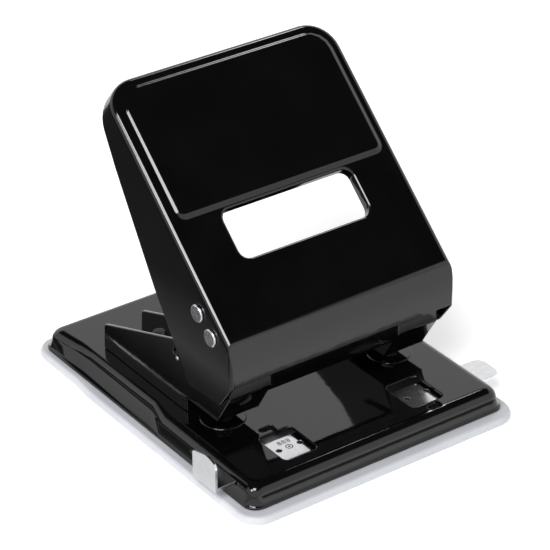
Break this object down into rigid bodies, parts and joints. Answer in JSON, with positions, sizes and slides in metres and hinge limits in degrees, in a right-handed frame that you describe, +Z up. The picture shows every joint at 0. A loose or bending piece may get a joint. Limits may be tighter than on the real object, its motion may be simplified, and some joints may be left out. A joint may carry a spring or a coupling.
{
  "type": "hole punch",
  "caption": "Desk punch for filing holes: pressed steel base on a plastic chip tray, lever-driven punching units, wide sheet-metal handle with a finger window, sliding paper guide.",
  "frame": {"origin": "on the table under the middle of the chip tray", "axes": "+X to the right across the punch, +Y from the paper side to the rear, +Z up"},
  "size_m": [0.1372, 0.1544, 0.1322],
  "materials": {
    "black_enamel": "high gloss black enamel",
    "white_plastic": "satin white plastic, slightly bluish",
    "bright_steel": "plain bright rivet steel",
    "guide_steel": "satin plated strip steel",
    "zinc_steel": "zinc plated steel",
    "tool_steel": "ground hardened steel"
  },
  "bodies": {
    "frame": {"base_plate": "black_enamel", "cross_bridge": "black_enamel", "pivot_shaft": "bright_steel", "guide_drag_leaf": "zinc_steel", "left_punching_unit": "black_enamel", "left_pin_guide_plate": "zinc_steel", "left_guide_bush": "zinc_steel", "left_return_spring": "zinc_steel", "left_die": "tool_steel", "left_pivot_washer": "zinc_steel", "left_guide_keeper": "zinc_steel", "left_foot_rivet_1": "zinc_steel", "left_foot_rivet_2": "zinc_steel", "left_foot_rivet_3": "zinc_steel", "right_punching_unit": "black_enamel", "right_pin_guide_plate": "zinc_steel", "right_guide_bush": "zinc_steel", "right_return_spring": "zinc_steel", "right_die": "tool_steel", "right_pivot_washer": "zinc_steel", "right_guide_keeper": "zinc_steel", "right_foot_rivet_1": "zinc_steel", "right_foot_rivet_2": "zinc_steel", "right_foot_rivet_3": "zinc_steel"},
    "lever": {"handle_cover": "black_enamel", "press_shaft": "bright_steel", "left_press_sleeve": "tool_steel", "right_press_sleeve": "tool_steel"},
    "left_pin": {"left_punch_pin": "tool_steel", "left_spring_washer": "zinc_steel", "left_snap_ring": "tool_steel"},
    "right_pin": {"right_punch_pin": "tool_steel", "right_spring_washer": "zinc_steel", "right_snap_ring": "tool_steel"},
    "guide": {"paper_guide_bar": "guide_steel"},
    "tray": {"chip_tray": "white_plastic"}
  },
  "joints": [
    {"name": "lever_hinge", "type": "hinge", "parent": "frame", "child": "lever", "pos_m": [0, -0.0357, 0.0586], "axis": [-1, 0, 0], "range_deg": [0, 42], "stiffness_Nm_per_rad": 1.5, "springref_deg": -28.65},
    {"name": "left_pin_slide", "type": "slide", "parent": "frame", "child": "left_pin", "axis": [0, 0, -1], "range_m": [0, 0.0073], "deforming": ["left_return_spring"]},
    {"name": "right_pin_slide", "type": "slide", "parent": "frame", "child": "right_pin", "axis": [0, 0, -1], "range_m": [0, 0.0073], "deforming": ["right_return_spring"]},
    {"name": "guide_slide", "type": "slide", "parent": "frame", "child": "guide", "axis": [-1, 0, 0], "range_m": [0, 0.08]},
    {"name": "tray_hinge", "type": "hinge", "parent": "frame", "child": "tray", "pos_m": [0, -0.072, 0.004], "axis": [-1, 0, 0], "range_deg": [0, 50]}
  ],
  "couplings": [
    {"joint": "left_pin_slide", "follows": "lever_hinge", "m_per_rad": 0.00985},
    {"joint": "right_pin_slide", "follows": "lever_hinge", "m_per_rad": 0.00985}
  ]
}
